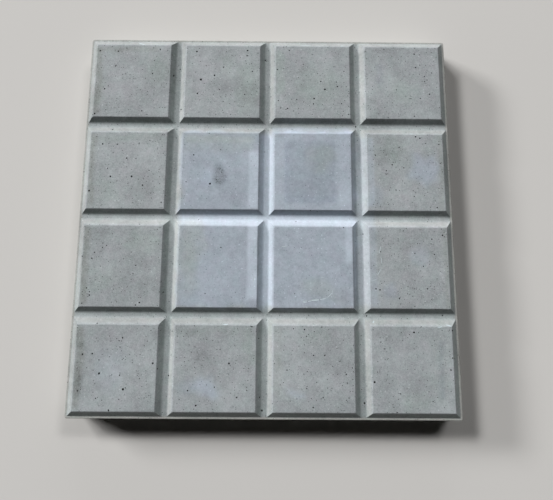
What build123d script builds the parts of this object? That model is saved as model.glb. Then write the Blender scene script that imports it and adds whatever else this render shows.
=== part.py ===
from build123d import *
from math import atan2, degrees, radians, tan
import os

# Square concrete paving slab, cast in one piece, face down in a smooth mould.
# The face is a square field raised on bevels above a narrow ledge that runs round the rim. Grooves
# with hollow feet cross it in both directions, down to the ledge's level, and part it into panels
# with bevelled, mitred sides. The back is flat.
# Millimetres, +Z up out of the face. The origin is the middle of the back, which lies on the bed.

# The slab as a block
SLAB_SIDE = 300.0               # across the back, its widest section, before the edge is eased
SLAB_THICKNESS = 30.0           # from the back to the tops of the panels
SIDE_DRAFT = 1.5                # degrees that each side leans in towards the face, to leave the mould
PLAN_CORNER_RADIUS = 2.5        # upright corners of the slab, at the back
RIM_RADIUS = 0.7                # edge between the ledge and a side
BACK_EDGE_RADIUS = 0.5          # edge between the back and a side, where the mix was struck off

# The pattern in its face
PANELS_PER_SIDE = 4
GROOVE_DEPTH = 4.55             # from a panel's top down to the floor of a groove
GROOVE_FLOOR_WIDTH = 3.85       # between the feet of two panels, before the feet are hollowed
LEDGE_WIDTH = 1.8               # from the outer panels' feet to the side
BEVEL_RUN = 4.55                # level distance from a panel's foot to the edge of its top
PANEL_EDGE_RADIUS = 1.2         # edge between a panel's top and its bevels
GROOVE_FOOT_RADIUS = 3.2        # hollow where a bevel runs out into the floor of a groove
LEDGE_FOOT_RADIUS = 0.8         # hollow where an outer bevel runs out into the ledge

# Sizes that follow from those
FLOOR_LEVEL = SLAB_THICKNESS - GROOVE_DEPTH
FACE_SIDE = SLAB_SIDE - 2 * FLOOR_LEVEL * tan(radians(SIDE_DRAFT))
FIELD_SIDE = FACE_SIDE - 2 * LEDGE_WIDTH
PITCH = (FIELD_SIDE + GROOVE_FLOOR_WIDTH) / PANELS_PER_SIDE
BEVEL_SLOPE = degrees(atan2(BEVEL_RUN, GROOVE_DEPTH))

SAME_PLACE = 0.01               # lengths that differ by less than this count as equal


def edges_round(face):
    """The outer edges of a flat face."""
    return face.outer_wire().edges()


def base_block():
    """The slab up to the level of its ledge, with its leaning sides and eased rim and back."""
    outline = RectangleRounded(SLAB_SIDE, SLAB_SIDE, PLAN_CORNER_RADIUS)
    block = extrude(outline, amount=FLOOR_LEVEL, taper=SIDE_DRAFT)
    block = fillet(edges_round(block.faces().sort_by(Axis.Z)[-1]), RIM_RADIUS)
    return fillet(edges_round(block.faces().sort_by(Axis.Z)[0]), BACK_EDGE_RADIUS)


def field():
    """The raised field before it is parted: a low frustum, its upper edge rounded."""
    foot = Pos(0, 0, FLOOR_LEVEL) * Rectangle(FIELD_SIDE, FIELD_SIDE)
    raised = extrude(foot, amount=GROOVE_DEPTH, taper=BEVEL_SLOPE)
    return fillet(edges_round(raised.faces().sort_by(Axis.Z)[-1]), PANEL_EDGE_RADIUS)


def ledge_foot(slab):
    """The edges where the field's bevels stand on the ledge."""
    level = slab.edges().filter_by_position(Axis.Z, FLOOR_LEVEL, FLOOR_LEVEL)
    reach = FIELD_SIDE / 2 + SAME_PLACE
    return [edge for edge in level if max(abs(edge.center().X), abs(edge.center().Y)) < reach]


def corners_at(section, x, y):
    """The two corners of a symmetrical section at a distance x from its middle, at the height y."""
    return [corner for corner in section.vertices()
            if abs(abs(corner.X) - x) < SAME_PLACE and abs(corner.Y - y) < SAME_PLACE]


def groove():
    """What one groove takes away, as a bar along Y with hollow feet and rounded shoulders."""
    foot = GROOVE_FLOOR_WIDTH / 2
    shoulder = foot + BEVEL_RUN
    side = shoulder + PANEL_EDGE_RADIUS
    top = SLAB_THICKNESS + PANEL_EDGE_RADIUS
    right = [(foot, FLOOR_LEVEL), (shoulder, SLAB_THICKNESS), (side, SLAB_THICKNESS), (side, top)]
    left = [(-x, y) for x, y in reversed(right)]
    section = make_face(Polyline(*right, *left, close=True))
    section = fillet(corners_at(section, foot, FLOOR_LEVEL), GROOVE_FOOT_RADIUS)
    section = fillet(corners_at(section, shoulder, SLAB_THICKNESS), PANEL_EDGE_RADIUS)
    return extrude(Plane.XZ * section, amount=SLAB_SIDE / 2, both=True)


def paving_slab():
    """The whole casting as one solid: the block, the field on it and the grooves both ways."""
    slab = base_block() + field()
    slab = fillet(ledge_foot(slab), LEDGE_FOOT_RADIUS)
    across = groove()
    for count in range(1, PANELS_PER_SIDE):
        place = Pos((count - PANELS_PER_SIDE / 2) * PITCH, 0, 0)
        slab = slab - place * across - Rot(0, 0, 90) * place * across
    return slab


slab = paving_slab()
print(f"panels {PITCH:.2f} mm apart, {slab.volume / 1000:.0f} cm3")
os.makedirs("parts", exist_ok=True)
export_step(slab, "parts/paving_slab.step")
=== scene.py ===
# %% [markdown]
# # A concrete paving slab, cast in a smooth mould
# The slab is one casting: a square block whose face carries sixteen raised panels with bevelled
# sides. Its looks come from three things: a mesh with the small faults of a real casting, a cement
# skin with cloudy greys, and a soft light from behind that makes the bevels read.
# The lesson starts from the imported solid, which stays the truth for every size.

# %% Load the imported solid
from math import cos, pi, radians, sin

import bmesh
import bpy
import numpy as np
from mathutils import Euler, Matrix, Vector, noise
from mathutils.bvhtree import BVHTree


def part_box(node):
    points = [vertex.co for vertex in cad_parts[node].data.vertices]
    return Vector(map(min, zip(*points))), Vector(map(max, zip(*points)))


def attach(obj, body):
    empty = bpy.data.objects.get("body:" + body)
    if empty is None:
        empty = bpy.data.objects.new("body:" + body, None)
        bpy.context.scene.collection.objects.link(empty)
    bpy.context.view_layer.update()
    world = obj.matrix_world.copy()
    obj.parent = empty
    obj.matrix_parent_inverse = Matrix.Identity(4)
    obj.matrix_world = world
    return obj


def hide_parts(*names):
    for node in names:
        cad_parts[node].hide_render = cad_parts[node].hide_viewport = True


MM = 0.001

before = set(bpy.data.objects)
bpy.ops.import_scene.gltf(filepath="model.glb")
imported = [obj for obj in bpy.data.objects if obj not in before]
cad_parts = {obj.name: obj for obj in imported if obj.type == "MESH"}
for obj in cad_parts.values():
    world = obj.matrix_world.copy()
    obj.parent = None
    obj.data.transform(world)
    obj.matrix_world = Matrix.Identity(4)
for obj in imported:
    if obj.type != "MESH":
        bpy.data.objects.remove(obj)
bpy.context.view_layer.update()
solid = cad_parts["paving_slab"]
low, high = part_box("paving_slab")
print("the slab measures", [round(side / MM, 2) for side in high - low], "mm")

# %% [markdown]
# ## Colours and nodes
# Colours are written as sRGB hex values, because that is how a colour picker or a paint card gives
# them. Cycles works with linear light, so one function turns them over. A second small function
# adds a shader node with its settings and its links, and that is all the node tooling needed.

# %% A colour function and a node function


def linear(hex_colour):
    """An sRGB hex colour as the linear RGBA that shaders and lamps work with."""
    parts = [int(hex_colour[i:i + 2], 16) / 255 for i in (1, 3, 5)]
    return [c / 12.92 if c <= 0.04045 else ((c + 0.055) / 1.055) ** 2.4 for c in parts] + [1.0]


def add(tree, kind, links=None, **settings):
    """A new node. A setting names a property, or a socket where no property has that name."""
    node = tree.nodes.new(kind)
    for name, value in settings.items():
        if hasattr(node, name):
            setattr(node, name, value)
        else:
            node.inputs[name.replace("_", " ")].default_value = value
    for socket, source in (links or {}).items():
        tree.links.new(source, node.inputs[socket])
    return node


def new_material(name):
    """An empty node material and its tree."""
    material = bpy.data.materials.new(name)
    material.use_nodes = True
    material.node_tree.nodes.clear()
    return material, material.node_tree


print("mid grey #808080 is", round(linear("#808080")[0], 3), "in linear light")

# %% [markdown]
# ## The camera
# The slab was photographed from a little under half a metre above its face, nearly straight down.
# The camera leans about eleven degrees towards the far edge. The picture is the lower part of a
# taller frame, so the lens axis doesn't pass through the middle of it: a vertical shift says so.
# The focal length is given in picture widths, which is what the photograph can tell.

# %% Place the camera
PICTURE = (553, 500)                        # width and height of the photograph, in its own dots
CAMERA_PLACE = Vector((7.1, -16.0, 455.5)) * MM
CAMERA_LEAN_DEG = (10.68, -0.31, 0.42)      # about X, Y and Z, from looking straight down
FOCAL_IN_WIDTHS = 532 / PICTURE[0]
LENS_AXIS_IN_PICTURE = (277.8, 138.2)       # where the lens points, from the upper left corner

camera_data = bpy.data.cameras.new("camera")
camera_data.sensor_fit = "HORIZONTAL"
camera_data.sensor_width = 36.0
camera_data.lens = FOCAL_IN_WIDTHS * camera_data.sensor_width
camera_data.shift_x = (PICTURE[0] / 2 - LENS_AXIS_IN_PICTURE[0]) / PICTURE[0]
camera_data.shift_y = (LENS_AXIS_IN_PICTURE[1] - PICTURE[1] / 2) / PICTURE[0]
camera_data.clip_start = 0.01
camera = bpy.data.objects.new("camera", camera_data)
camera.location = CAMERA_PLACE
camera.rotation_euler = Euler([radians(a) for a in CAMERA_LEAN_DEG], "XYZ")
bpy.context.collection.objects.link(camera)
bpy.context.scene.camera = camera
bpy.context.scene.view_settings.view_transform = "Standard"
print("lens", round(camera_data.lens, 1), "mm, shift", round(camera_data.shift_y, 3))

# %% [markdown]
# ## The floor
# The slab lies on a plain pale floor. The floor is large enough to reach past every view, and its
# high roughness keeps it matt.

# %% Lay the floor
FLOOR_COLOUR = "#C4C2BF"
FLOOR_HALF_SIDE = 3.0           # metres
CORNERS = ((-1, -1), (1, -1), (1, 1), (-1, 1))

floor_mesh = bpy.data.meshes.new("floor")
corners = [(x * FLOOR_HALF_SIDE, y * FLOOR_HALF_SIDE, 0) for x, y in CORNERS]
floor_mesh.from_pydata(corners, [], [(0, 1, 2, 3)])
floor = bpy.data.objects.new("floor", floor_mesh)
bpy.context.collection.objects.link(floor)
paint, tree = new_material("matt_pale_floor")
shader = add(tree, "ShaderNodeBsdfPrincipled",
             Base_Color=linear(FLOOR_COLOUR), Roughness=0.9, Specular_IOR_Level=0.2)
add(tree, "ShaderNodeOutputMaterial", {"Surface": shader.outputs["BSDF"]})
floor_mesh.materials.append(paint)
print("the floor is", 2 * FLOOR_HALF_SIDE, "m wide")

# %% [markdown]
# ## The light
# The photograph's light comes from behind the slab and from its left, in one broad low band, as from
# a long window. Three soft boxes make that band, and a low strip stands for the bright horizon behind
# it. Bevels that face the band turn bright, and those that face the other way get only what the
# floor throws back. The boxes stand far off, so that they light the whole slab alike.

# %% Hang the soft boxes
DISTANCE = 20.0                 # metres from the slab to each box
SOFT_BOXES = {      # azimuth and elevation in degrees, width and height in metres, and watts
    "window_left": (-60, 22, 5.6, 2.6, 3450),
    "window_corner": (-45, 40, 5.6, 2.6, 2750),
    "lamp_behind": (30, 46, 5.6, 2.6, 1180),
    "horizon_strip": (0, 8, 8.0, 1.6, 850),
}


def soft_box(name, azimuth, elevation, width, height, watts):
    """A rectangular lamp aimed at the slab. Azimuth 0 is behind the slab, 90 on its right."""
    lamp = bpy.data.lights.new(name, "AREA")
    lamp.shape = "RECTANGLE"
    lamp.size, lamp.size_y = width, height
    lamp.energy = watts
    level, turn = cos(radians(elevation)), radians(azimuth)
    place = Vector((level * sin(turn), level * cos(turn), sin(radians(elevation))))
    box = bpy.data.objects.new(name, lamp)
    box.location = DISTANCE * place
    box.rotation_euler = place.to_track_quat("Z", "Y").to_euler()
    bpy.context.collection.objects.link(box)


for name, settings in SOFT_BOXES.items():
    soft_box(name, *settings)
print("soft boxes:", ", ".join(SOFT_BOXES))

# %% [markdown]
# The room beyond the floor gives no light of its own. Only the camera, and what shines or lets light
# through, sees it, as the same pale grey as the floor.

# %% Paint the room beyond the floor
BACKDROP = "#D5D3D0"

world = bpy.data.worlds.new("studio")
world.use_nodes = True
room = world.node_tree
seen = add(room, "ShaderNodeLightPath").outputs
direct = add(room, "ShaderNodeMath", {0: seen["Is Camera Ray"], 1: seen["Is Glossy Ray"]},
             operation="MAXIMUM")
shown = add(room, "ShaderNodeMath", {0: direct.outputs["Value"], 1: seen["Is Transmission Ray"]},
            operation="MAXIMUM")
background = room.nodes["Background"]
background.inputs["Color"].default_value = linear(BACKDROP)
room.links.new(shown.outputs["Value"], background.inputs["Strength"])
bpy.context.scene.world = world
print("the room beyond the floor shows as", BACKDROP)

# %% [markdown]
# ## A finer mesh of the same casting
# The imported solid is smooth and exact. A real casting isn't: its flats wander by hundredths of a
# millimetre, its edges are a little worn, and air leaves pinholes. To carve those, the mesh needs
# many small faces. It could be remeshed in voxels, but that would soften the mitred corners. Cutting
# it with planes keeps every corner of the solid and adds points only in between.

# %% Copy the casting and clean its faces
WELD = 0.002 * MM               # points nearer than this become one
FLAT = radians(3.2)             # faces that meet at less than this are joined before the cuts

casting = bmesh.new()
casting.from_mesh(solid.data)
bmesh.ops.remove_doubles(casting, verts=casting.verts, dist=WELD)
bmesh.ops.dissolve_limit(casting, angle_limit=FLAT, verts=casting.verts, edges=casting.edges)
print("the clean copy has", len(casting.faces), "faces")

# %% [markdown]
# The cuts follow the pattern: close together over the panels, two more along each bevel and one
# down the middle of each groove. The sides and the back show less, so they get every second cut.

# %% Cut it into small faces
PITCH = 74.73 * MM              # from one panel to the next
PANEL_MIDDLES = (-1.5, -0.5, 0.5, 1.5)      # in pitches from the slab's middle
CUTS_ON_PANEL = 25
CUT_STEP = 2.41 * MM
CUTS_ON_BEVEL = (32.4 * MM, 33.9 * MM)      # from the panel's middle
SIDE_STEP = 3.1 * MM
UNDER_RIM = 24.6 * MM           # faces below this height belong to the sides and the back


def cut_places():
    """Where the planes pass, as distances from the slab's middle."""
    places = [-PITCH, 0.0, PITCH]
    for panel in PANEL_MIDDLES:
        steps = [(k - CUTS_ON_PANEL // 2) * CUT_STEP for k in range(CUTS_ON_PANEL)]
        edges = [sign * way for sign in (-1, 1) for way in CUTS_ON_BEVEL]
        places += [panel * PITCH + offset for offset in steps + edges]
    return sorted(places)


def cut(mesh, faces, normal, places):
    """Cut some faces of a mesh with planes that are square to the normal."""
    corners = dict.fromkeys(corner for face in faces for corner in face.verts)
    edges = dict.fromkeys(edge for face in faces for edge in face.edges)
    parts = [*corners, *edges, *faces]
    for place in places:
        parts = bmesh.ops.bisect_plane(
            mesh, geom=parts, dist=WELD, plane_co=normal * place, plane_no=normal)["geom"]


def faces_of(under_rim):
    """The faces of the sides and the back, or else those of the panelled face."""
    return [f for f in casting.faces if (f.calc_center_median().z <= UNDER_RIM) == under_rim]


places = cut_places()
for normal in (Vector((1, 0, 0)), Vector((0, 1, 0))):
    cut(casting, faces_of(under_rim=False), normal, places)
    cut(casting, faces_of(under_rim=True), normal, places[::2])
rows = [k * SIDE_STEP for k in range(1, int(UNDER_RIM / SIDE_STEP))]
cut(casting, faces_of(under_rim=True), Vector((0, 0, 1)), rows)
print("the finer copy has", len(casting.faces), "faces")

# %% [markdown]
# ## The faults of a casting
# Every fault goes inwards, as wear and shrinkage do, so the slab keeps its size. Wear gathers where
# the surface bends outwards: the code finds those edges by their angle and takes a little more
# there. The back was the open side of the mould, so it is struck off roughly.

# %% Wear the edges and roughen the back
SHARP = radians(5)                  # an edge that bends out by more than this can wear
WANDER = (0.06 * MM, 12 * MM, 3)    # how deep the flats wander, over what length, and a seed
WEAR = (0.22 * MM, 3.5 * MM, 17)    # the same for the wear of the edges
STRUCK = (0.35 * MM, 9 * MM, 31)    # the same for the roughness of the back
WORN_ABOVE = 0.45                   # edges wear only where their noise is above this
WEAR_BESIDE = 0.4                   # share of the wear that the points beside an edge get
DOWNWARD = -0.9                     # normals that point lower than this belong to the back
LAYERS = (0.6, 2.0, 2)              # how fast finer noise fades, how much finer it is, layers

casting.normal_update()
worn = [e for e in casting.edges if e.is_manifold and e.calc_face_angle_signed() > SHARP]
bends_out = {point for edge in worn for point in edge.verts}
beside = {v for point in bends_out for e in point.link_edges for v in e.verts} - bends_out


def ripple(place, length, seed):
    """Smooth noise from 0 to 1 whose bumps are about one length across."""
    wave = noise.fractal(place / length + Vector((seed, 0, 0)), *LAYERS)
    return min(1.0, max(0.0, 0.5 + 0.5 * wave))


moves = []
for point in casting.verts:
    depth = WANDER[0] * ripple(point.co, *WANDER[1:])
    wear = max(0.0, ripple(point.co, *WEAR[1:]) - WORN_ABOVE) * WEAR[0]
    if point in bends_out:
        depth += wear
    elif point in beside:
        depth += WEAR_BESIDE * wear
    if point.normal.z < DOWNWARD:
        depth += STRUCK[0] * ripple(point.co, *STRUCK[1:])
    moves.append(-depth * point.normal)
for point, move in zip(casting.verts, moves):
    point.co += move
bmesh.ops.triangulate(casting, faces=casting.faces)
print("moved inwards by up to", round(max(m.length for m in moves) / MM, 2), "mm")

# %% [markdown]
# ## Pinholes
# Air bubbles trapped against the mould leave round holes, a little wider inside than at the mouth.
# They are cut for real, with one Boolean, so they hold shadow from every side. The largest sit where
# the photograph shows them, and smaller ones are scattered between them.

# %% Where the holes are
PINHOLES = [    # x, y and width of the mouth, in millimetres
    (-140.6, 137.6, 1.3), (-125.4, 137.4, 1.1), (-118.4, 140.2, .9), (-90.4, 139.4, .9),
    (-126.9, 124.4, .9), (-95.9, 118.2, 1.1), (-134.7, 104.7, 1.1), (-141.4, 83.6, 1.2),
    (-94.9, 129.4, .7), (-104.1, 121.6, .7), (-114.4, 116.9, .7), (-131.9, 107.4, .7),
    (-78.6, 117.1, 1.3), (-73.8, 123.4, .9), (-71.4, 88.2, 1.2), (-126.7, 71.1, 1.1),
    (-59.6, 137.7, 1.4), (-60.2, 133.9, .7), (-17.1, 139, 1.3), (-17.4, 134.4, 1.1),
    (-2.2, 131.9, 1.2), (-36.9, 124.2, 1.0), (-44.2, 117.1, 1.4), (-55.4, 113.3, 1.6),
    (-12.8, 120.7, .9), (-57.9, 101.4, 1.2), (-18.9, 100.8, .8), (-39.7, 104.9, .7),
    (-44.7, 100.6, .7), (-36.4, 94.6, .7), (17.9, 139.4, .9), (29.6, 127.4, .9), (8.1, 122.6, .9),
    (63.6, 121.4, .8), (44.2, 112.6, 1.0), (57.9, 108.2, 1.0), (57.1, 112.2, .8),
    (47.6, 105.8, 1.3), (38.6, 97.8, 1.2), (24.2, 97, .8), (9.1, 95.9, .9), (16.6, 89.2, 1.1),
    (66.8, 84.6, .9), (73.1, 75.2, 1.2), (81.6, 139.2, .8), (97.6, 141.1, .8), (122.8, 137.1, 1.0),
    (123.6, 125.4, 1.1), (136.6, 120.7, .8), (130.6, 117.6, .8), (130.6, 113.2, .9),
    (106.9, 105.9, .8), (134.2, 102.4, 1.1), (118.6, 98.4, .8), (120.9, 83.6, .9),
    (-141.4, 20.4, 1.3), (-133.1, 58.4, 1.1), (-121.2, 58.2, 1.0), (-103.7, 59.2, .9),
    (-95.1, 61.6, .8), (-113, 46.9, 1.1), (-127.9, 38.4, .8), (-125.2, 32, 1.4),
    (-108.2, 32.1, 1.3), (-94.4, 37.1, .8), (-99.1, 25.2, 1.1), (-83.6, 11.7, .9),
    (-47.1, 67.9, .8), (-37.4, 54.4, .8), (-59, 50, 1.0), (-64.4, 28.2, .9), (-45.2, 26.8, 1.4),
    (121.2, 66.4, 1.1), (124.6, 65.2, 1.1), (129.1, 60.9, .8), (139.9, 60.2, .9),
    (107.4, 57.4, .9), (101.3, 43.2, 1.2), (96.4, 38.4, 1.0), (140.4, 44.7, .8), (118.1, 17.9, .8),
    (136.1, 9.1, .9), (-143.2, -30.6, 1.1), (-135.4, -32.1, .9), (-133.7, -27.6, .8),
    (-127.7, -23.8, .9), (-99.9, -5.6, .8), (-100.9, -37.2, .9), (-102.7, -43.4, .8),
    (-140.7, -65.8, 1.0), (-135.4, -59.8, 1.1), (-96.6, -65.1, 1.1), (-46.4, -58.1, .7),
    (19.9, -72.3, .9), (139.2, -12.6, 1.2), (130.6, -15.6, 1.0), (132.1, -27.3, .9),
    (116.9, -26.6, .8), (100.6, -27.2, .8), (123.1, -36.4, .9), (125.6, -53.4, 1.0),
    (78.6, -74.4, 1.0), (-128.1, -80.6, .9), (-107.9, -90.6, .9), (-109.4, -97.6, .8),
    (-137.4, -102.9, 1.2), (-130, -102.4, 1.1), (-84.1, -109, 1.3), (-80.6, -112.9, .9),
    (-124, -116.4, 1.4), (-105.4, -127.4, 1.5), (-139.2, -128.8, .9), (-125.4, -133.8, .8),
    (-115.2, -142.1, 1.2), (-26.7, -108.8, 1.4), (-57.2, -128, .9), (-50.7, -138.4, 1.2),
    (-20.4, -132.6, 1.0), (-72.6, -118.6, 1.1), (-3.4, -133.3, 1.0), (-1.6, -142.8, 1.5),
    (30.3, -84, 1.1), (37.1, -102.6, 1.0), (45.6, -102.6, 1.0), (61.6, -115.9, 1.0),
    (62.3, -122.1, .8), (31.9, -126.1, .8), (44.1, -132.4, .9), (63.4, -132.6, .8),
    (36.6, -139.2, 1.0), (113.8, -85.6, 1.3), (143.4, -84.1, 1.2), (82.8, -121.3, 1.3),
    (142.4, -103.9, 1.0), (140.6, -112.4, 1.0), (75.6, -137.3, 1.5), (99.2, -142.4, .8),
]
BLUR = 1.12                     # the photograph's blur makes mouths look this much narrower
SCATTERED_ON_FACE = 290
SCATTERED_ON_SIDE = 40          # on each of the four
SCATTERED_ON_BACK = 60
FACE_WIDTHS = (0.5, 0.18, 1.1)  # least width, average excess and greatest width, in millimetres
SIDE_WIDTHS = (0.6, 0.5, 2.6)
BACK_WIDTHS = (1.0, 0.8, 4.0)
REACH = 0.96                    # how far out they are scattered, as a share of half a side
REACH_ON_BACK = 0.95
HEIGHTS_ON_SIDE = (2, 23)       # millimetres
QUIET_MIDDLE = 72 * MM          # the middle four panels have hardly any holes
QUIET_SHARE = 0.25              # the share that stays of those that fall there
FAR = 1                         # metres from the slab to where a ray starts

rng = np.random.default_rng(7)  # seeded, so that each run gives the same holes
half = (high.x - low.x) / 2     # half the slab's side
surface = BVHTree.FromBMesh(casting)


def find(start, way):
    """Where a ray meets the surface, as a place and the surface's normal there."""
    place, normal, _, _ = surface.ray_cast(start, way)
    return place, normal


def random_width(least, excess, greatest):
    """The width of a scattered hole's mouth: mostly narrow, now and then wide."""
    return min(greatest, least + rng.exponential(excess)) * MM


down, up = Vector((0, 0, -1)), Vector((0, 0, 1))
holes = []
for x, y, width in PINHOLES:
    holes.append((*find(Vector((x * MM, y * MM, FAR)), down), BLUR * width * MM))
while len(holes) < len(PINHOLES) + SCATTERED_ON_FACE:
    x, y = rng.uniform(-REACH, REACH, 2) * half
    if max(abs(x), abs(y)) > QUIET_MIDDLE or rng.random() < QUIET_SHARE:
        holes.append((*find(Vector((x, y, FAR)), down), random_width(*FACE_WIDTHS)))
for way in (Vector((1, 0, 0)), Vector((0, 1, 0)), Vector((-1, 0, 0)), Vector((0, -1, 0))):
    for _ in range(SCATTERED_ON_SIDE):
        along, height = rng.uniform(-REACH, REACH) * half, rng.uniform(*HEIGHTS_ON_SIDE) * MM
        start = -FAR * way + way.cross(up) * along + up * height
        holes.append((*find(start, way), random_width(*SIDE_WIDTHS)))
for _ in range(SCATTERED_ON_BACK):
    x, y = rng.uniform(-REACH_ON_BACK, REACH_ON_BACK, 2) * half
    holes.append((*find(Vector((x, y, -FAR)), up), random_width(*BACK_WIDTHS)))
print(len(holes), "holes, the widest", round(max(hole[2] for hole in holes) / MM, 1), "mm")

# %% [markdown]
# The slab has been handled: a few scratches and chips show as pale marks where the skin is broken.
# They are shallow cuts, made with the same Boolean.

# %% Where it is scratched and chipped
SCUFFS = [      # x, y, length and width in millimetres, and the turn from the X axis in degrees
    (31, -63.4, 4, 1.5, 10), (33, -63.2, 6, 0.6, 8), (38.5, -62.2, 7, 1.1, 5),
    (44.5, -61.3, 6, 0.7, 12), (49.6, -58.8, 5, 0.5, 45), (52, -55.5, 3.5, 0.4, 75),
    (14.5, -22, 4.5, 0.5, 10), (35, -54.3, 2.5, 0.4, -30), (44, -45.5, 2.5, 0.4, 10),
    (-106.5, 144.6, 6, 1.3, -25), (32, 144.8, 10, 0.7, 3), (134, -81.5, 5, 1.0, 15),
    (141, -80.6, 5, 0.9, -20), (83.5, -78.5, 2.5, 1.0, 60), (89.5, -24, 6, 0.5, 75),
    (90.5, -32, 6, 0.4, 95), (88.5, -41, 6, 0.5, 60), (84.5, -47, 5, 0.4, 15),
    (-8, -25, 4, 0.6, 85), (-9, -47, 5, 0.6, 80), (0.2, 40, 3, 0.8, 88), (62.5, 144.2, 3, 1.0, 0),
    (-30, -80.8, 4, 0.9, 8), (118, 68.8, 4, 0.8, 4),
]
SCUFF_DEPTH = 0.07 * MM

scuffs = []
for x, y, length, width, turn in SCUFFS:
    spot = find(Vector((x * MM, y * MM, FAR)), down)
    scuffs.append((*spot, length * MM, width * MM, radians(turn)))
print(len(scuffs), "scuffs, the longest", round(max(scuff[2] for scuff in scuffs) / MM, 1), "mm")

# %% [markdown]
# Each hole's cutter is a ball set a little below the surface, squeezed at random so no two are
# alike. A scuff's cutter is a long flat ball. Both kinds carry a material of their own, and the
# Boolean hands it to the walls they leave.

# %% Cut the holes
SINK = 0.35                     # how far a ball's middle lies below the surface, in radii
SQUEEZE = (0.85, 1.15)          # least and greatest stretch of a ball along the surface
DEEPER = (1.0, 1.5)             # least and greatest stretch of a ball into the cement
BROKEN_SKIN = 1                 # place of the scuffs' material in the cutters' list

cutters = bmesh.new()
for place, normal, width in holes:
    radius = width / 2 / (1 - SINK ** 2) ** 0.5
    deep = rng.uniform(*DEEPER)
    across, along = rng.uniform(*SQUEEZE), rng.uniform(*SQUEEZE)
    stretch = Matrix.Diagonal((radius * across, radius * along, radius * deep, 1))
    facing = normal.to_track_quat("Z", "Y").to_matrix().to_4x4()
    turn = facing @ Matrix.Rotation(rng.uniform(0, pi), 4, "Z")
    sunk = Matrix.Translation(place - normal * radius * deep * SINK)
    bmesh.ops.create_icosphere(cutters, subdivisions=2, radius=1.0, matrix=sunk @ turn @ stretch)
balls_end = len(cutters.faces)
for place, normal, length, width, turn in scuffs:
    stretch = Matrix.Diagonal((length / 2, width / 2, SCUFF_DEPTH, 1))
    lean = up.rotation_difference(normal).to_matrix().to_4x4() @ Matrix.Rotation(turn, 4, "Z")
    laid = Matrix.Translation(place) @ lean @ stretch
    bmesh.ops.create_icosphere(cutters, subdivisions=3, radius=1.0, matrix=laid)
cutters.faces.ensure_lookup_table()
for face in cutters.faces[balls_end:]:
    face.material_index = BROKEN_SKIN

skin, skin_tree = new_material("cast_cement_skin")
hollow, hollow_tree = new_material("pinhole_wall")
broken, broken_tree = new_material("broken_skin")


def build(name, mesh, *materials):
    """An object from mesh data, with its materials."""
    data = bpy.data.meshes.new(name)
    mesh.to_mesh(data)
    mesh.free()
    for material in materials:
        data.materials.append(material)
    piece = bpy.data.objects.new(name, data)
    bpy.context.collection.objects.link(piece)
    return piece


rough = build("rough_casting", casting, skin)
balls = build("bubbles", cutters, hollow, broken)
boolean = rough.modifiers.new("pinholes", "BOOLEAN")
boolean.object = balls
boolean.operation = "DIFFERENCE"
boolean.solver = "MANIFOLD"
boolean.material_mode = "TRANSFER"
evaluated = rough.evaluated_get(bpy.context.evaluated_depsgraph_get())
slab_mesh = bpy.data.meshes.new_from_object(evaluated)
for scrap in (rough, balls):
    bpy.data.objects.remove(scrap)
print("the slab's mesh has", len(slab_mesh.polygons), "faces and", len(slab_mesh.materials), "materials")

# %% [markdown]
# The Boolean leaves thin triangles round each hole, and smooth shading would smear light over them.
# Two things stop that: the rim of each hole is marked as a sharp edge, and the normals are weighted
# by area, so the large faces set them and the slivers follow.

# %% Set the shading
CREASE = radians(32)            # edges that bend by more than this stay sharp
SLIVER = 0.003 * MM             # faces thinner than this are closed up
WALL = 1                        # place of the pinhole walls' material in the slab's list

slab_mesh.name = "slab"
slab = bpy.data.objects.new("slab", slab_mesh)
bpy.context.collection.objects.link(slab)
tidy = bmesh.new()
tidy.from_mesh(slab_mesh)
bmesh.ops.remove_doubles(tidy, verts=tidy.verts, dist=SLIVER)
bmesh.ops.dissolve_degenerate(tidy, dist=SLIVER, edges=tidy.edges)
for face in tidy.faces:
    face.smooth = True
for edge in tidy.edges:
    rim = sum(face.material_index == WALL for face in edge.link_faces) == 1
    edge.smooth = not rim and edge.calc_face_angle(0) < CREASE
open_edges = sum(not edge.is_manifold for edge in tidy.edges)
tidy.to_mesh(slab_mesh)
tidy.free()
weighted = slab.modifiers.new("even_normals", "WEIGHTED_NORMAL")
weighted.keep_sharp = True
evaluated = slab.evaluated_get(bpy.context.evaluated_depsgraph_get())
slab.data = bpy.data.meshes.new_from_object(evaluated)
slab.modifiers.clear()
slab_mesh = slab.data
slab_mesh.calc_loop_triangles()
print(len(slab_mesh.loop_triangles), "triangles,", open_edges, "open edges")
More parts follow.
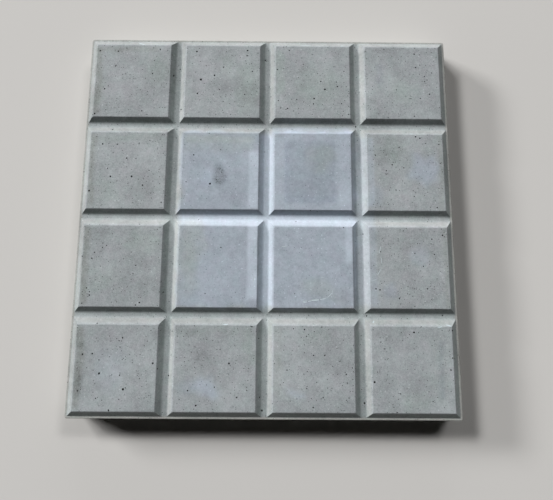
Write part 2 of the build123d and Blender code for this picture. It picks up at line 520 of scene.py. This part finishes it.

# %% [markdown]
# ## Where the skin is tinted, lighter or darker
# Cement skin dries unevenly. The middle four panels have a pale bloom of lime, strongest down in the
# grooves and beside them, and there it is partly a painted sheen that lifts the grooves and bevels
# as a reflection would. The outer panels are clouded with green and mauve greys, and in bands along
# the rim the skin is darker. Those places are drawn as soft rectangles and soft ovals, and stored on
# the mesh as attributes that the material reads. Bevels, groove floors and the rim are found by
# height and slope, and get slight tints of their own: painted light and painted shade on the bevels,
# by the way each faces the soft boxes, and painted shade on the groove floors. The finer mottling
# comes from noise in the material.

# %% Draw the soft patches
PATCHES = {     # x, y, half width, half depth, softness (all in mm), how much lighter, how tinted
    # the middle panels' pale bloom, and the painted sheen on their grooves and bevels
    "bloom_and_sheen": [
        (1, 0, 70, 69, 3, 0.07, 0.75), (76, 0, 4.5, 66, 1.5, 0.02, 0.4),
        (-10.3, 31, 3.6, 23, 0.6, 0.29, 0), (-10.2, -34, 3.6, 28, 0.6, 0.35, 0),
        (37, 71, 33, 3, 1.5, 0.12, 0.5), (-11, -13, 2, 5, 2.5, 0.10, 0),
        (-10, -48, 2, 5, 2.5, 0.12, 0), (-38.5, 33.7, 2, 4, 5, -0.13, 0.6),
        (-48.5, 31, 1.5, 3, 5, 0.06, 0.2), (64.8, -21, 3, 14, 1.2, 0.26, 0),
        (37, 37, 30, 30, 1, 0.07, 0), (35.5, 37, 21, 25, 1.2, -0.17, 0.25),
        (62.8, 18, 4.5, 7, 2, 0.08, 0), (14, 64, 5, 3, 2.5, 0.06, 0), (10, 52, 2, 8, 2.5, 0.06, 0),
        (-60, -20, 7, 24, 6, -0.03, -0.4), (-65, 36, 2, 24, 2, 0.08, -0.1),
        (-38, 63.5, 28, 2.5, 1.5, 0.05, -0.3), (84, 37, 2.5, 28, 1.5, 0.13, 0.4),
        (84, -30, 3, 36, 2, 0.07, 0.4), (70.5, -6, 1.5, 60, 1, 0.0, 0.2),
        (126, 39, 9, 11, 6, 0.05, 0.65), (88, 17, 4, 9, 3, -0.06, 0.3),
        (92, 119, 2.5, 9, 2.5, -0.09, 0.2), (97, -57, 4.5, 4.5, 5, -0.10, 0.4),
        (121, -28, 5, 5, 5, 0.04, 0.3), (-117, -112, 13, 16, 7, 0.03, 0.2),
        (-43, -126, 9, 6, 5, 0.10, 0.65), (-58, -127, 5, 5, 5, -0.04, 0.3),
        (24, -130, 7, 2.2, 3, 0.12, 0.45), (133.5, -112, 2, 20, 1.5, -0.13, 0.3),
    ],
    "green": [
        (-91, 121, 9, 13, 5, 0.0, 0.6), (-16, 106, 8, 24, 5, -0.04, 0.7),
        (-35, 126, 5, 8, 5, 0.03, 0.5), (10.5, 120, 3, 18, 2, 0.04, 0.8),
        (42, 110, 20, 15, 6, -0.06, 0.6), (111, 104, 10, 10, 5, 0.01, 0.6),
        (-112, 64, 28, 3, 3, -0.01, 0.6), (-126, 18, 12, 8, 6, -0.03, 0.5),
        (105, 58, 9, 7, 5, -0.07, 0.5), (98, 49, 6, 5, 5, -0.05, 0.4),
        (-98, -18, 12, 10, 6, 0.0, 0.6), (-125, -48, 12, 8, 6, 0.01, 0.5),
        (40, -54, 16, 6, 5, 0.0, 0.4), (-61, -36, 8, 26, 7, 0.0, 0.5),
        (38, 40, 19, 22, 3, 0.0, 0.15), (-38.5, 33.7, 2.5, 4.5, 5, 0.0, 0.25),
        (132, -110, 8, 30, 5, 0.0, 0.4), (-38, 64, 29, 3, 2, 0.0, 0.3),
        (-37, -85.5, 29, 3, 3, -0.07, 0.5), (-12, -98, 4.5, 12, 5, -0.06, 0.6),
        (40, -90, 9, 6, 5, 0.0, 0.4), (112, -134, 10, 6, 5, 0.0, 0.6), (46, 50, 9, 9, 6, 0.0, 0.4),
        (-38, 59, 28, 5, 4, 0.0, 0.35),
    ],
    "mauve": [
        (-118, 105, 20, 18, 8, 0.04, 0.6), (-54, 118, 13, 20, 6, 0.05, 0.6),
        (11, 95, 3.5, 6, 2.5, 0.08, 0.3), (26, 133, 9, 6, 5, 0.05, 0.7),
        (24, 88, 8, 3, 3, 0.04, 0.5), (112, 140, 30, 2, 2, -0.05, 0.5),
        (118, 92, 8, 2, 2.5, -0.07, 0.3), (133, 118, 9, 18, 7, 0.0, 0.6),
        (-108, 42, 14, 12, 7, 0.0, 0.5), (112, 14, 10, 7, 5, -0.02, 0.6),
        (-118, -28, 10, 8, 6, 0.03, 0.5), (60, -60, 7, 5, 5, -0.06, 0.3),
        (113, -44, 6, 4, 5, -0.07, 0.5), (109, -22, 3, 13, 3, -0.04, 0.6),
        (128, -15, 12, 7, 6, 0.0, 0.5), (-110, -92, 20, 6, 6, 0.01, 0.5),
        (-45, -101, 14, 9, 6, -0.07, 0.5), (-20, -118, 12, 8, 6, 0.02, 0.5),
        (50, -105, 14, 18, 8, 0.0, 0.4), (112, -110, 24, 24, 8, -0.02, 0.2),
    ],
    # bands along panel edges, mostly darker and mostly on the rim
    "edge_bands": [
        (-140.5, 112, 2.4, 29, 2, -0.18, 0.9), (-118, 139.5, 26, 2, 1.5, -0.08, 0.6),
        (-138, 100, 3, 10, 3, -0.04, 0.3), (-140.5, 37, 2.2, 29, 2, -0.16, 1.0),
        (-140.5, -37, 2.4, 29, 2, -0.19, 1.0), (-140.5, -112, 2.6, 29, 2, -0.18, 0.9),
        (-139, -96, 2, 2.5, 1.5, -0.10, 0.0), (-138.5, -124, 2, 9, 2, -0.12, 0.0),
        (140.7, 0, 1.8, 68, 1.5, -0.07, 0.6), (10.5, -108, 3, 24, 2, 0.03, 0.4),
        (11, -108, 2, 4, 2, -0.10, 0.3),
    ],
    "plain": [
        (-37, 106, 5, 6, 5, -0.09, 0), (-33, 88, 4, 2.5, 1.5, 0.08, 0),
        (-65.5, 98, 2, 15, 1.5, 0.07, 0), (-37, 84.5, 30, 2, 2, -0.05, 0),
        (38, 88, 28, 4, 3, 0.02, 0), (85, 112, 2.5, 27, 2, 0.06, 0), (100, 85, 14, 3, 3, -0.05, 0),
        (-132, 50, 3, 4, 5, 0.06, 0), (-93, 54, 4, 8, 5, 0.06, 0),
        (-125.5, 33, 4, 4.5, 2, 0.08, 0), (-96, 22, 2.5, 16, 2.5, -0.07, 0),
        (-87.8, 27, 1, 13, 1, 0.05, 0), (88.5, 45, 2, 20, 2, 0.03, 0),
        (125, 20, 2.5, 9, 1.5, 0.05, 0), (-88.3, -38, 1, 22, 0.8, 0.07, 0),
        (-98, -34, 5, 5, 5, -0.06, 0), (86, -13, 3, 3, 2.5, -0.10, 0),
        # the long thin strips down the grooves are partly paler skin, partly painted highlight on bevels
        # facing the soft boxes; the dark one at x -4.6 is painted shade
        (-98, -118, 4, 4, 5, -0.05, 0), (0, -2, 147, 5, 1.5, 0.13, 0), (0, 0, 72, 2.5, 1, 0.10, 0),
        (-70.5, -37, 2.5, 33, 1, 0.18, 0), (78.9, 0, 2.5, 68, 1, 0.14, 0),
        (74.7, -15, 2, 60, 1, 0.18, 0), (-74.7, -37, 2, 30, 1, 0.15, 0),
        (0, -37, 2, 32, 1, 0.10, 0), (-4.6, 0, 1.6, 68, 1, -0.10, 0),
        (0, 110, 2.5, 36, 1, 0.05, 0), (0, -110, 2.5, 36, 1, 0.05, 0),
        (74.7, 110, 2.5, 36, 1, 0.05, 0), (74.7, -110, 2.5, 36, 1, 0.08, 0),
        (0, 74.7, 147, 2, 1, 0.05, 0), (0, -74.7, 147, 2, 1, 0.06, 0),
        (-128, -133, 6, 3, 3, 0.04, 0), (-48, -128, 2, 3, 1.5, 0.05, 0),
        (60, -115, 5, 8, 5, -0.04, 0), (95, -95, 1.5, 8, 1.5, -0.05, 0),
        (65, -27, 1.5, 2, 1.2, 0.12, 0), (-112, 112, 36, 36, 9, -0.05, 0),
        (-20, -112, 110, 37, 9, 0.05, 0), (112, -112, 36, 36, 5, 0.03, 0),
        (112, -37, 34, 34, 6, 0.02, 0), (0, -148.4, 149, 0.9, 0.8, 0.12, 0),
    ],
}
# down in the middle grooves the bloom is lifted further, as a painted sheen
GROOVE_PAINTED_SHEEN = 0.34             # how much lighter the bloom is down in the grooves
SMUDGE = (-38.5, 33.7, 3, 5, 5)     # a dark smudge: x, y, half width, half depth and softness
OVAL_SOFTNESS = 5               # patches at least this soft are ovals
OVAL_CORE = 1 / 3               # an oval is full out to this share of its radius
SWAY_LENGTH = 14                # outlines wander over this length, by as much as they are soft
SWAY_SEED = 6                   # fixed, or the outlines would differ from run to run


def ramp(values, start, end):
    """0 up to the start, 1 past the end and a straight ramp between. The end may be the lower."""
    return np.clip((values - start) / (end - start), 0, 1)


def ease(share):
    """A share from 0 to 1 that leaves 0 and reaches 1 gently."""
    return share * share * (3 - 2 * share)


def weight(x, y, half_width, half_depth, soft):
    """How far each point of the mesh is inside a soft patch, from 0 to 1."""
    across, along = np.abs(points[:, :2] + soft * wander[:, :2] - (x, y)).T
    if soft < OVAL_SOFTNESS:
        inside_width = ramp(across, half_width + soft, half_width - soft)
        inside_depth = ramp(along, half_depth + soft, half_depth - soft)
        return ease(inside_width) * ease(inside_depth)
    outwards = np.hypot(across / (half_width + soft), along / (half_depth + soft))
    return ease(ramp(outwards, 1, OVAL_CORE))


def store(name, values):
    """Keep one number for each point of the mesh, where a material can read it."""
    attribute = slab_mesh.attributes.new(name, "FLOAT", "POINT")
    attribute.data.foreach_set("value", values.astype(np.float32))
    print(name, "runs from", round(float(values.min()), 2), "to", round(float(values.max()), 2))


# %% Read the mesh's points
points = np.empty(len(slab_mesh.vertices) * 3)
slab_mesh.vertices.foreach_get("co", points)
points = points.reshape(-1, 3) / MM
normals = np.empty(len(points) * 3)
slab_mesh.vertices.foreach_get("normal", normals)
normals = normals.reshape(-1, 3)
noise.seed_set(SWAY_SEED)
wander = np.array([noise.turbulence_vector(Vector(p) / SWAY_LENGTH, 3, False) for p in points])
reach = round(float(np.abs(wander).max()), 2)
print(len(points), "points, and outlines wander by up to", reach, "times their softness")

# %% [markdown]
# The heights tell what a point belongs to. The panels' tops lie at 30 mm, the groove floors and the
# ledge at 25.45 mm, and the sides below that. The outermost bevels stand 147.5 mm from the middle.
# Each share grows from 0 to 1 over a short range, so no tint ends in a hard line. The bevels on the
# left and far sides of each panel face the soft boxes and are painted a little warmer and lighter, as
# painted light; the other two are painted cooler and darker, as painted shade.

# %% Find the grooves, the bevels and the rim
# each bevel's painted light by its facing: lighter and warmer towards the soft boxes, darker and cooler
# away, as painted shade
BEVEL_PAINTED_LIGHT = (      # which way a bevel faces, as axis and sign, how much lighter it is and its tint
    (0, -1, 0.06, "painted_light_warm"), (0, 1, -0.04, "painted_shade_cool"), (1, 1, 0.06, "painted_light_warm"), (1, -1, -0.20, "painted_shade_cool"),
)
FACE = (23, 25)                 # heights in millimetres over which the face's share grows to 1
GROOVE = (29.4, 28.2)           # downwards from the panels' rounded edges
BEVEL = (25.5, 26.1)            # upwards from the groove floors
SIDE = (25, 22)                 # downwards from the rim
OUTSIDE = (147.3, 147.8)        # outwards over the ledge, from the slab's middle
BEVEL_TO_FULL = 1.4             # times the level part of a bevel's normal, 0.7, makes about 1
# the groove floors get part of the painted shade tint
FLOOR_PAINTED_SHADE = 0.5            # how strong the cool tint is on the groove floors

height = points[:, 2]
from_middle = np.abs(points[:, :2]).max(axis=1)
on_face = ramp(height, *FACE)
in_groove = ramp(height, *GROOVE) * on_face
on_bevel = in_groove * ramp(height, *BEVEL)
on_rim = np.maximum(ramp(height, *SIDE), ramp(from_middle, *OUTSIDE))
# in the middle grooves the skin is first lifted by the painted sheen
lighter = GROOVE_PAINTED_SHEEN * in_groove * weight(*PATCHES["bloom_and_sheen"][0][:5])
on_floor = in_groove - on_bevel
# the groove floors start with half the painted shade tint
casts = {"painted_light_warm": np.zeros(len(points)), "painted_shade_cool": FLOOR_PAINTED_SHADE * on_floor, "rim": on_rim}
# bevels facing the soft boxes are painted lighter and warmer, as painted light; the others darker and
# cooler, as painted shade
for axis, sign, amount, tint in BEVEL_PAINTED_LIGHT:
    turned = on_bevel * np.clip(BEVEL_TO_FULL * sign * normals[:, axis], 0, 1)
    lighter += amount * turned
    casts[tint] += turned

# %% Store the tints and the brightness
for tint, patches in PATCHES.items():
    lighter += on_face * sum(weight(*patch[:5]) * patch[5] for patch in patches)
    if tint != "plain":
        store(tint, on_face * np.clip(sum(weight(*patch[:5]) * patch[6] for patch in patches), 0, 1))
store("lighter", lighter)
store("bevel", on_bevel)
for tint, amount in casts.items():
    store(tint, np.clip(amount, 0, 1))
store("flecked", on_face * weight(*SMUDGE))

# %% [markdown]
# ## The cement skin
# The real skin is cement paste that set against smooth plastic: matt with a faint gloss, grey, and
# clouded. Four sizes of noise make its mottling: clouds where the paste dried slowly, blotches as
# wide as a fingertip, scales, and grain near the size of sand. A fifth noise drifts between greenish
# and mauve grey. Cell noise gives three kinds of dots: pinpricks that are too small to cut as holes,
# painted dark partly for dust and partly as painted shade inside them, pale specks of lime, and the
# dark flecks of the smudge.

# %% Make the noises of the skin
NOISES = {      # size in millimetres, detail and roughness
    "clouds": (32, 3, 0.5),
    "blotches": (7, 3, 0.65),
    "scales": (2.2, 2, 0.6),
    "grain": (0.8, 2, 0.9),     # coarser than the real 0.2 mm sand, so that it shows
    "drift": (10, 5, 0.7),
}
DOTS = {        # how far apart and how wide, in millimetres
    "pricks": (1.9, 0.85),
    "specks": (2.6, 1.3),
    "flecks": (1.2, 1.1),
}
DOT_CORE = 0.4                  # a dot is full out to this share of its radius
UNEVEN = 3                      # how much the dots of one kind differ in strength
ATTRIBUTES = ("painted_light_warm", "painted_shade_cool", "rim", "bloom_and_sheen", "green", "mauve", "edge_bands", "lighter", "bevel", "flecked")

coords = add(skin_tree, "ShaderNodeTexCoord").outputs["Object"]
signals = {}
for name, (size, detail, rough) in NOISES.items():
    waves = add(skin_tree, "ShaderNodeTexNoise", {"Vector": coords},
                Scale=1 / (size * MM), Detail=detail)
    waves.inputs["Roughness"].default_value = rough
    signals[name] = waves.outputs["Fac"]
for name, (spacing, width) in DOTS.items():
    cells = add(skin_tree, "ShaderNodeTexVoronoi", {"Vector": coords}, Scale=1 / (spacing * MM))
    dot = add(skin_tree, "ShaderNodeMapRange", {"Value": cells.outputs["Distance"]},
              interpolation_type="SMOOTHSTEP")
    radius = width / 2 / spacing
    dot.inputs["From Min"].default_value = radius
    dot.inputs["From Max"].default_value = DOT_CORE * radius
    chance = add(skin_tree, "ShaderNodeMath", {0: cells.outputs["Color"]}, operation="POWER")
    chance.inputs[1].default_value = UNEVEN
    uneven = add(skin_tree, "ShaderNodeMath",
                 {0: dot.outputs["Result"], 1: chance.outputs["Value"]}, operation="MULTIPLY")
    signals[name] = uneven.outputs["Value"]
for name in ATTRIBUTES:
    signals[name] = add(skin_tree, "ShaderNodeAttribute", attribute_name=name).outputs["Fac"]
print("signals:", ", ".join(signals))

# %% [markdown]
# Some signals count only where another one allows. The flecks belong to the smudge, where scales and
# grain change too. Bevels have finer mottling than the tops, because the mould was steep there, and
# the bloom with its painted sheen covers part of the grain, of the clouds and of the pinpricks.

# %% Let one signal gate another
GATES = {       # a signal, and the one that says how far it counts
    "smudge_flecks": ("flecks", "flecked"),
    "smudge_scales": ("scales", "flecked"),
    "smudge_grain": ("grain", "flecked"),
    "bevel_scales": ("scales", "bevel"),
    "bevel_grain": ("grain", "bevel"),
    "bevel_pricks": ("pricks", "bevel"),
    "hidden_grain": ("grain", "bloom_and_sheen"),
    "hidden_pricks": ("pricks", "bloom_and_sheen"),
    "hidden_clouds": ("clouds", "bloom_and_sheen"),
}

for name, (first, second) in GATES.items():
    gate = add(skin_tree, "ShaderNodeMath",
               {0: signals[first], 1: signals[second]}, operation="MULTIPLY")
    signals[name] = gate.outputs["Value"]
print("gated:", ", ".join(GATES))

# %% [markdown]
# The colour starts from one plain grey. Each tint that was drawn is mixed in by its attribute, and
# the drift noise then turns the result a little to green here and to mauve there.

# %% Mix the colour of the skin
PLAIN = "#9BA0A3"
TINTS = {
    # the next two are the painted light and painted shade tints of the bevels and groove floors
    "painted_light_warm": "#9EA1A1",
    "painted_shade_cool": "#99A1A1",
    "bloom_and_sheen": "#9CA5B2",
    "green": "#98A1A0",
    "mauve": "#9C9FA3",
    "edge_bands": "#9BA09F",
    "rim": "#A1A29F",
}
DRIFT_CASTS = ("#F8FFFB", "#FFFAFC")
DRIFT_RANGE = (0.25, 0.75)      # where in the noise's range it turns from one cast to the other
FROM, TO, MIXED = 6, 7, 2       # the Mix node's own numbers for its colour sockets

hue = None
for name, hex_colour in TINTS.items():
    mix = add(skin_tree, "ShaderNodeMix", {"Factor": signals[name]}, data_type="RGBA")
    if hue is None:
        mix.inputs[FROM].default_value = linear(PLAIN)
    else:
        skin_tree.links.new(hue, mix.inputs[FROM])
    mix.inputs[TO].default_value = linear(hex_colour)
    hue = mix.outputs[MIXED]
stretch = add(skin_tree, "ShaderNodeMapRange", {"Value": signals["drift"]},
              From_Min=DRIFT_RANGE[0], From_Max=DRIFT_RANGE[1])
cast = add(skin_tree, "ShaderNodeMix", {"Factor": stretch.outputs["Result"]}, data_type="RGBA")
cast.inputs[FROM].default_value = linear(DRIFT_CASTS[0])
cast.inputs[TO].default_value = linear(DRIFT_CASTS[1])
tinted = add(skin_tree, "ShaderNodeVectorMath", {0: hue, 1: cast.outputs[MIXED]},
             operation="MULTIPLY")
print(len(TINTS), "tints over one grey")

# %% [markdown]
# Brightness is one running sum. Each term adds a signal times its gain, and the start value takes
# off what the noises add on average. Two more sums give the height of the fine relief and the
# roughness. The smooth mould left a faint gloss, so the roughness lies near 0.57, well below the 0.8
# and more of broken cement.

# %% Add up brightness, relief and gloss
BRIGHTNESS = (-0.18, {      # the start value, then each signal's gain
    "lighter": 1.0, "clouds": 0.60, "blotches": 0.40, "scales": 0.32, "grain": 0.85,
    "hidden_grain": -0.55, "hidden_clouds": -0.35, "bloom_and_sheen": 0.45,
    # pinpricks darken the skin: partly dust, partly painted shade for the tiny pores
    "pricks": -2.2, "hidden_pricks": 1.7, "specks": 0.6,
    "smudge_flecks": -1.1, "smudge_scales": -0.7, "smudge_grain": -1.4, "flecked": 0.90,
    "bevel_scales": 0.10, "bevel_grain": -0.40, "bevel_pricks": 2.0, "bevel": 0.15,
})
RELIEF = (0.0, {"grain": 0.6, "blotches": 0.4, "pricks": -1.5})
ROUGHNESS = (0.42, {"blotches": 0.3})

sums = []
for start, terms in (BRIGHTNESS, RELIEF, ROUGHNESS):
    base = add(skin_tree, "ShaderNodeValue")
    base.outputs["Value"].default_value = start
    total = base.outputs["Value"]
    for name, gain in terms.items():
        step = add(skin_tree, "ShaderNodeMath", {0: signals[name], 2: total}, operation="MULTIPLY_ADD")
        step.inputs[1].default_value = gain
        total = step.outputs["Value"]
    sums.append(total)
brightness, relief, roughness = sums
print(len(skin_tree.nodes), "nodes so far")

# %% Make the cement skin
RELIEF_DEPTH = 0.05 * MM

colour = add(skin_tree, "ShaderNodeVectorMath",
             {0: tinted.outputs["Vector"], "Scale": brightness}, operation="SCALE")
bump = add(skin_tree, "ShaderNodeBump", {"Height": relief}, Strength=0.3, Distance=RELIEF_DEPTH)
links = {"Base Color": colour.outputs["Vector"], "Roughness": roughness,
         "Normal": bump.outputs["Normal"]}
shader = add(skin_tree, "ShaderNodeBsdfPrincipled", links, Specular_IOR_Level=0.25)
add(skin_tree, "ShaderNodeOutputMaterial", {"Surface": shader.outputs["BSDF"]})
print(len(skin_tree.nodes), "nodes in the cement skin")

# %% [markdown]
# The walls of the holes were never pressed against the mould. They are coarse and hold dust and
# moisture, and their dark grey is partly that and partly painted shade for the depth of the holes.
# Where the skin is scratched or chipped, fresh cement shows, dry, pale and without gloss.

# %% Make the walls of the holes and the broken skin
COARSE_CEMENT = (       # node tree, colour and roughness
    # the hole walls' dark grey is partly dust and partly painted shade
    (hollow_tree, "#444847", 0.85),
    (broken_tree, "#AFBBBF", 0.8),
)

for tree, hex_colour, coarse in COARSE_CEMENT:
    shader = add(tree, "ShaderNodeBsdfPrincipled", Base_Color=linear(hex_colour), Roughness=coarse)
    add(tree, "ShaderNodeOutputMaterial", {"Surface": shader.outputs["BSDF"]})
print("materials:", ", ".join(material.name for material in slab_mesh.materials))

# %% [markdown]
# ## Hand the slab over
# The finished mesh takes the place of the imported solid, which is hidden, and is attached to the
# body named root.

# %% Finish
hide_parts("paving_slab")
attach(slab, "root")
